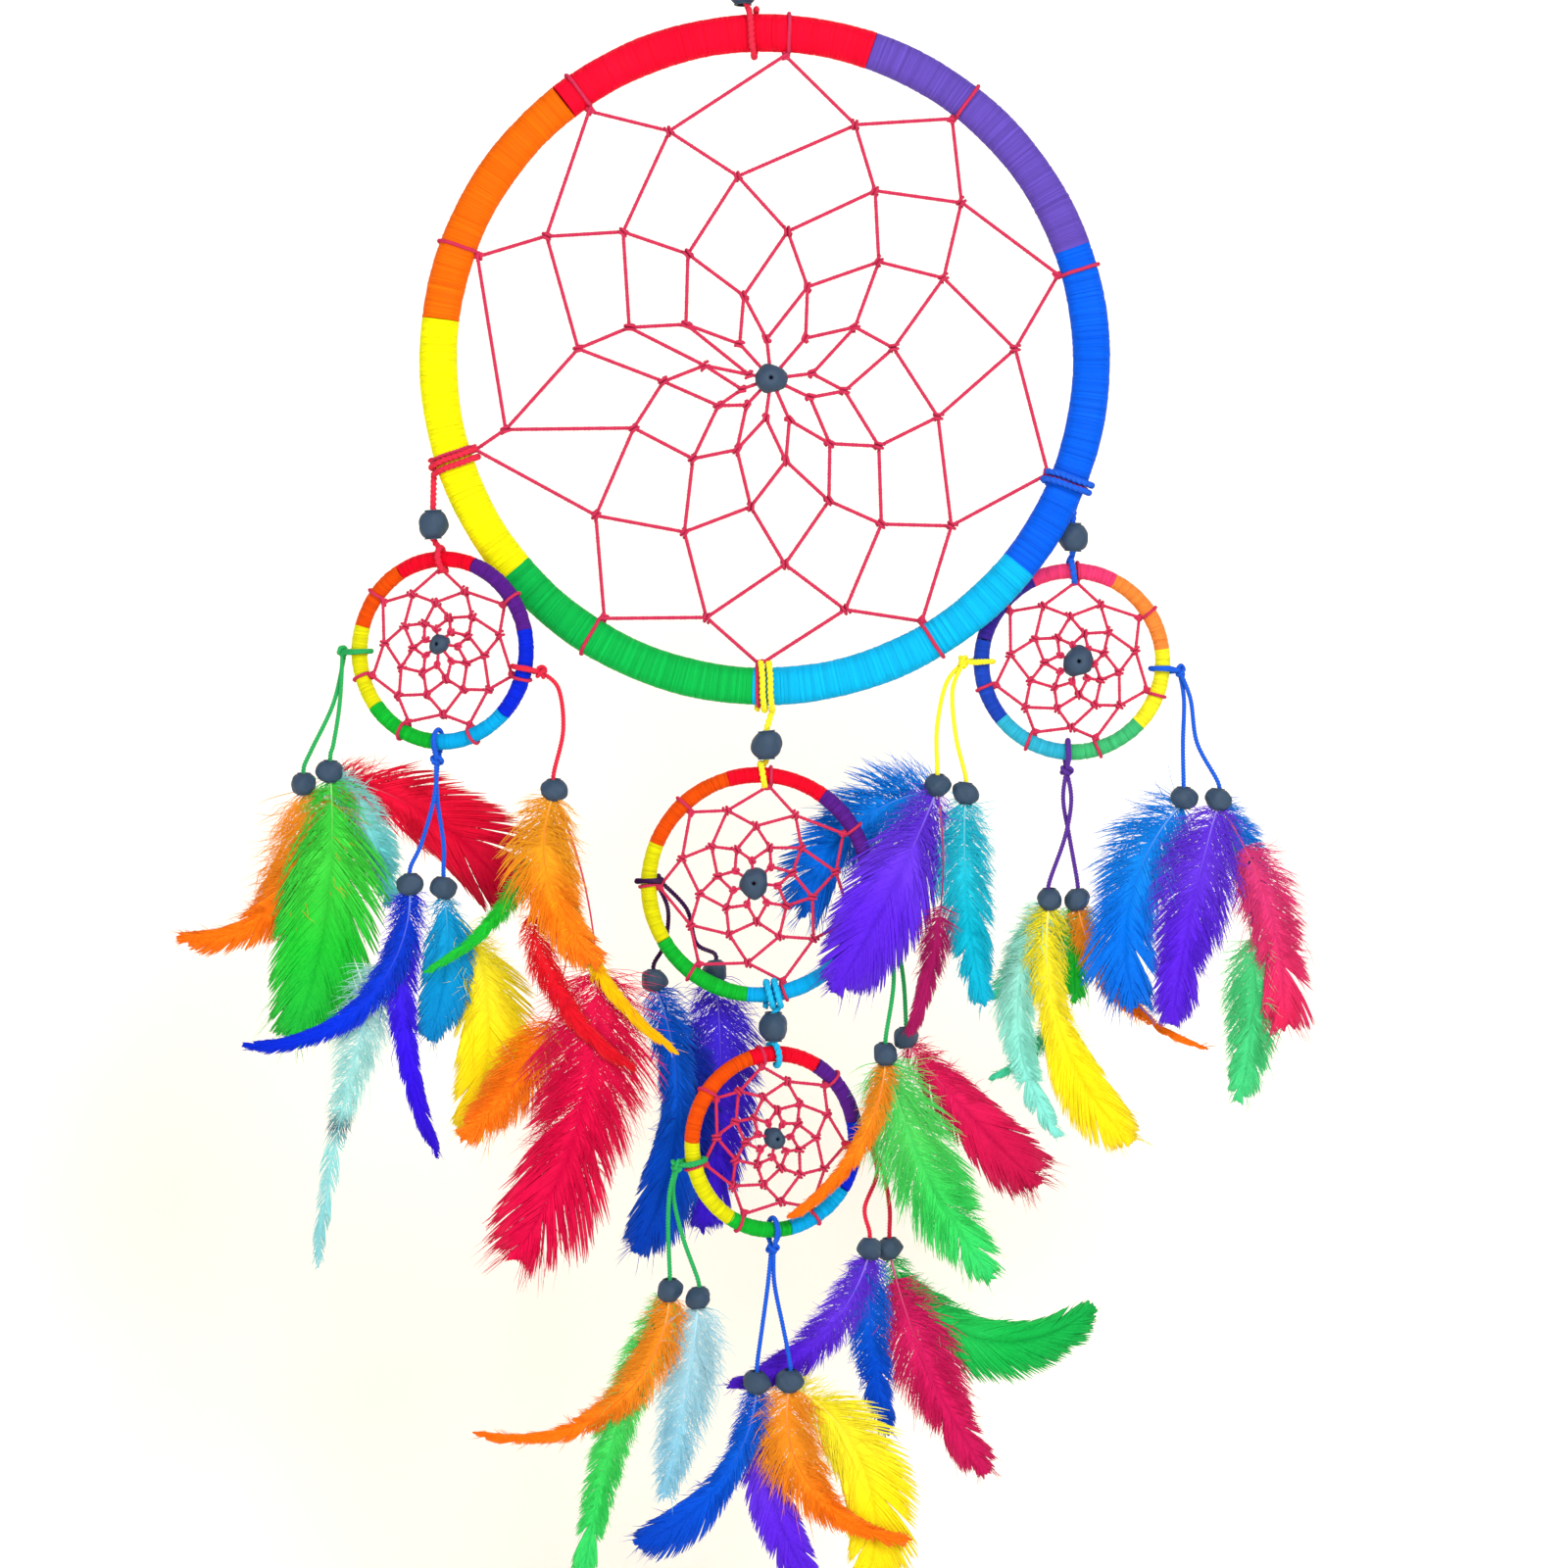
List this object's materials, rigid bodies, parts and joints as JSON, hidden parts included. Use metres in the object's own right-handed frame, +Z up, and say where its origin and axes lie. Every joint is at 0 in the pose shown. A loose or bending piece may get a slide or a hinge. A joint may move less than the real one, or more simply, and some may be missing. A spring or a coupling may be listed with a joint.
{
  "type": "dream catcher",
  "caption": "Wall-hung dream catcher: a large thread-wrapped hoop with smaller hoops below, each with a knotted web and bead, and tassels of dyed feathers on beaded cords.",
  "frame": {"origin": "top of the hanging loop, where a nail holds it", "axes": "+Z up, +X to the right seen from the front, the front faces -Y"},
  "size_m": [0.3552, 0.0392, 0.5732],
  "materials": {
    "ring_metal": "dull wire, hidden by the wrapping",
    "rainbow_thread": "thread wound in seven colours: red, purple, blue, cyan, green, yellow, orange",
    "crimson_thread": "thin twisted thread",
    "dark_wood": "black paint rubbed with blue, satin",
    "red_cord": "braided cord",
    "blue_cord": "braided cord",
    "yellow_cord": "braided cord",
    "cyan_cord": "braided cord",
    "green_cord": "braided cord",
    "purple_cord": "braided cord",
    "dyed_feathers": "dyed down and vanes, each feather its own colour"
  },
  "bodies": {
    "loop": {"hanging_loop": "red_cord"},
    "top_bead": {"top_bead": "dark_wood", "top_tie": "red_cord"},
    "main_hoop": {"main_hoop_core": "ring_metal", "main_hoop_wraps": "rainbow_thread", "main_web": "crimson_thread", "main_web_bead": "dark_wood"},
    "left_hoop": {"left_hoop_core": "ring_metal", "left_hoop_wraps": "rainbow_thread", "left_web": "crimson_thread", "left_beads": "dark_wood", "left_sling": "red_cord"},
    "right_hoop": {"right_hoop_core": "ring_metal", "right_hoop_wraps": "rainbow_thread", "right_web": "crimson_thread", "right_beads": "dark_wood", "right_sling": "blue_cord"},
    "middle_hoop": {"middle_hoop_core": "ring_metal", "middle_hoop_wraps": "rainbow_thread", "middle_web": "crimson_thread", "middle_beads": "dark_wood", "middle_sling": "yellow_cord"},
    "lower_hoop": {"lower_hoop_core": "ring_metal", "lower_hoop_wraps": "rainbow_thread", "lower_web": "crimson_thread", "lower_beads": "dark_wood", "lower_sling": "cyan_cord"},
    "left_outer_tassel": {"left_outer_cord": "green_cord", "left_outer_beads": "dark_wood", "left_outer_feathers": "dyed_feathers"},
    "left_lower_tassel": {"left_lower_cord": "blue_cord", "left_lower_beads": "dark_wood", "left_lower_feathers": "dyed_feathers"},
    "left_inner_tassel": {"left_inner_cord": "red_cord", "left_inner_bead": "dark_wood", "left_inner_feathers": "dyed_feathers"},
    "middle_left_tassel": {"middle_left_cord": "purple_cord", "middle_left_beads": "dark_wood", "middle_left_feathers": "dyed_feathers"},
    "right_inner_tassel": {"right_inner_cord": "yellow_cord", "right_inner_beads": "dark_wood", "right_inner_feathers": "dyed_feathers"},
    "middle_right_tassel": {"middle_right_cord": "green_cord", "middle_right_beads": "dark_wood", "middle_right_feathers": "dyed_feathers"},
    "right_lower_tassel": {"right_lower_cord": "purple_cord", "right_lower_beads": "dark_wood", "right_lower_feathers": "dyed_feathers"},
    "right_outer_tassel": {"right_outer_cord": "blue_cord", "right_outer_beads": "dark_wood", "right_outer_feathers": "dyed_feathers"},
    "bottom_left_tassel": {"bottom_left_cord": "green_cord", "bottom_left_beads": "dark_wood", "bottom_left_feathers": "dyed_feathers"},
    "bottom_tassel": {"bottom_cord": "blue_cord", "bottom_beads": "dark_wood", "bottom_feathers": "dyed_feathers"},
    "bottom_right_tassel": {"bottom_right_cord": "red_cord", "bottom_right_beads": "dark_wood", "bottom_right_feathers": "dyed_feathers"}
  },
  "joints": [
    {"name": "main_turn", "type": "hinge", "parent": "loop", "child": "top_bead", "pos_m": [-0.007, 0, -0.0585], "axis": [0, 0, 1], "range_deg": [-90, 90]},
    {"name": "main_swing", "type": "hinge", "parent": "top_bead", "child": "main_hoop", "pos_m": [-0.00363, 0, -0.07206], "axis": [0, 1, 0], "range_deg": [-8, 8]},
    {"name": "left_hoop_swing", "type": "hinge", "parent": "main_hoop", "child": "left_hoop", "pos_m": [-0.09891, 0, -0.20814], "axis": [0, 1, 0], "range_deg": [-2, 10]},
    {"name": "right_hoop_swing", "type": "hinge", "parent": "main_hoop", "child": "right_hoop", "pos_m": [0.09643, 0, -0.21496], "axis": [0, 1, 0], "range_deg": [-6, 1]},
    {"name": "middle_hoop_swing", "type": "hinge", "parent": "main_hoop", "child": "middle_hoop", "pos_m": [0, 0, -0.28], "axis": [0, 1, 0], "range_deg": [-7, 6]},
    {"name": "lower_hoop_swing", "type": "hinge", "parent": "middle_hoop", "child": "lower_hoop", "pos_m": [0.00227, 0, -0.37794], "axis": [0, 1, 0], "range_deg": [-7, 7]},
    {"name": "left_outer_tassel_swing", "type": "hinge", "parent": "left_hoop", "child": "left_outer_tassel", "pos_m": [-0.12965, 0.00592, -0.2687], "axis": [0, 1, 0], "range_deg": [-8, 8]},
    {"name": "left_lower_tassel_swing", "type": "hinge", "parent": "left_hoop", "child": "left_lower_tassel", "pos_m": [-0.10383, -0.00348, -0.29766], "axis": [0, 1, 0], "range_deg": [-8, 8]},
    {"name": "left_inner_tassel_swing", "type": "hinge", "parent": "left_hoop", "child": "left_inner_tassel", "pos_m": [-0.07574, -0.0137, -0.27473], "axis": [0, 1, 0], "range_deg": [-7, 8]},
    {"name": "middle_left_tassel_swing", "type": "hinge", "parent": "middle_hoop", "child": "middle_left_tassel", "pos_m": [-0.03698, 0, -0.34198], "axis": [0, 1, 0], "range_deg": [-5, 5]},
    {"name": "right_inner_tassel_swing", "type": "hinge", "parent": "right_hoop", "child": "right_inner_tassel", "pos_m": [0.0693, 0.0075, -0.2719], "axis": [0, 1, 0], "range_deg": [-8, 8]},
    {"name": "middle_right_tassel_swing", "type": "hinge", "parent": "middle_hoop", "child": "middle_right_tassel", "pos_m": [0.03299, 0, -0.34381], "axis": [0, 1, 0], "range_deg": [-6, 8]},
    {"name": "right_lower_tassel_swing", "type": "hinge", "parent": "right_hoop", "child": "right_lower_tassel", "pos_m": [0.09678, 0.0075, -0.30086], "axis": [0, 1, 0], "range_deg": [-8, 8]},
    {"name": "right_outer_tassel_swing", "type": "hinge", "parent": "right_hoop", "child": "right_outer_tassel", "pos_m": [0.12719, 0.0075, -0.27443], "axis": [0, 1, 0], "range_deg": [-8, 8]},
    {"name": "bottom_left_tassel_swing", "type": "hinge", "parent": "lower_hoop", "child": "bottom_left_tassel", "pos_m": [-0.02248, -0.0103, -0.43034], "axis": [0, 1, 0], "range_deg": [-8, 8]},
    {"name": "bottom_tassel_swing", "type": "hinge", "parent": "lower_hoop", "child": "bottom_tassel", "pos_m": [0.00255, -0.00018, -0.453], "axis": [0, 1, 0], "range_deg": [-8, 8]},
    {"name": "bottom_right_tassel_swing", "type": "hinge", "parent": "lower_hoop", "child": "bottom_right_tassel", "pos_m": [0.02893, 0.01047, -0.42646], "axis": [0, 1, 0], "range_deg": [-8, 8]}
  ]
}
